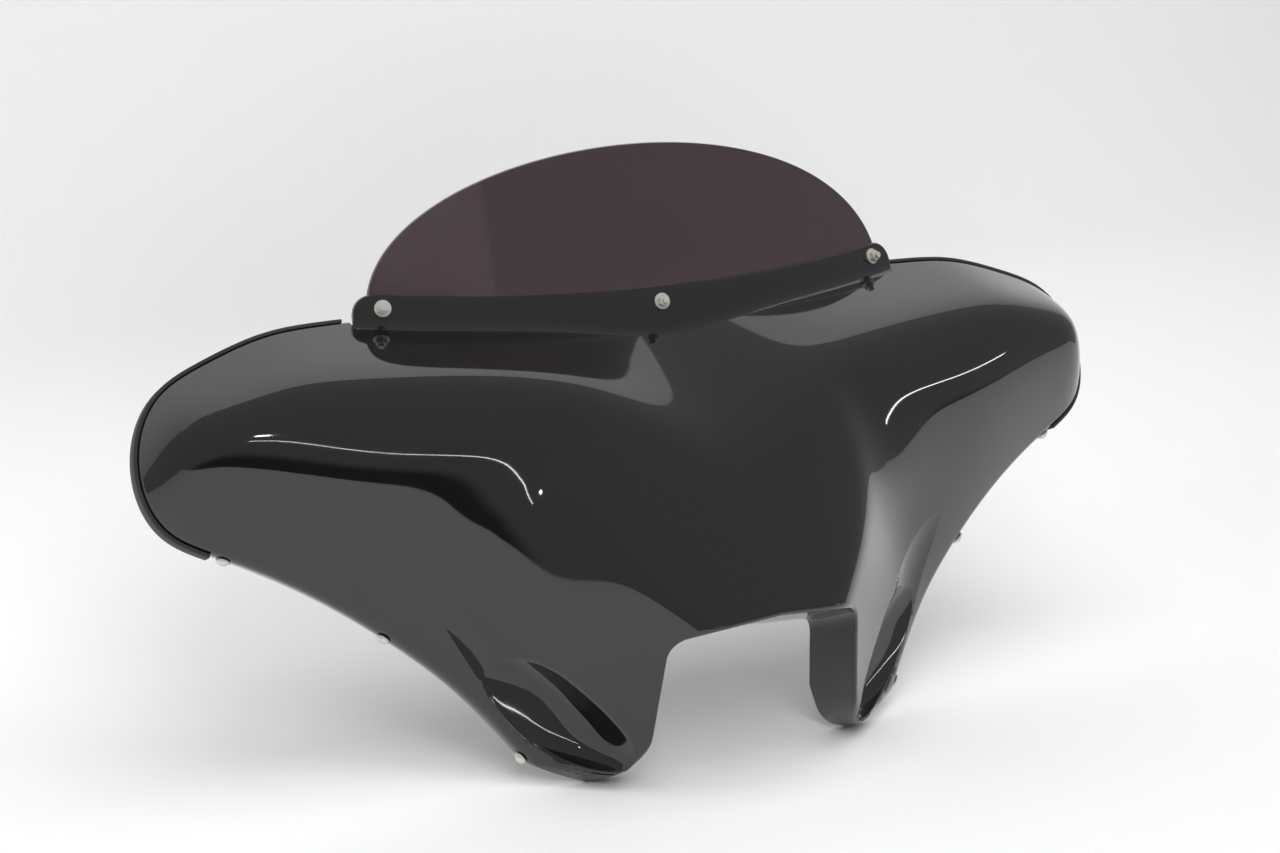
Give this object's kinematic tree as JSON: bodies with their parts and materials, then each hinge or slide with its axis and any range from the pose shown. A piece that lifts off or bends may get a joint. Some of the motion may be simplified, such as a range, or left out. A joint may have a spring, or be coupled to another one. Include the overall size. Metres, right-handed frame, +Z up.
{
  "type": "motorcycle fairing",
  "caption": "Glossy black handlebar fairing shell with broad wings, a headlight gap between its legs, a smoke-tinted windshield bolted behind its lip and rubber edge trims.",
  "frame": {"origin": "on the ground, under the middle of the whole fairing's box, as it stands on its legs in the picture", "axes": "X across to the rider's left as seen from the front, minus Y forward, Z up"},
  "size_m": [0.8438, 0.2618, 0.459],
  "materials": {
    "gloss_black_shell": "black gelcoat, polished to a mirror gloss",
    "smoke_acrylic": "smoke-tinted clear acrylic sheet",
    "trim_rubber": "matte black extruded edge trim",
    "washer_rubber": "soft black rubber",
    "bright_fastener": "bright stainless steel"
  },
  "bodies": {
    "root": {"fairing_shell": "gloss_black_shell", "windshield": "smoke_acrylic", "edge_trim_left": "trim_rubber", "edge_trim_right": "trim_rubber", "windshield_rubber_washers": "washer_rubber", "windshield_bolts": "bright_fastener", "windshield_washers": "bright_fastener", "windshield_nuts": "bright_fastener", "lower_edge_screws": "bright_fastener", "lower_edge_washers": "bright_fastener", "lower_edge_nuts": "bright_fastener"}
  },
  "joints": []
}
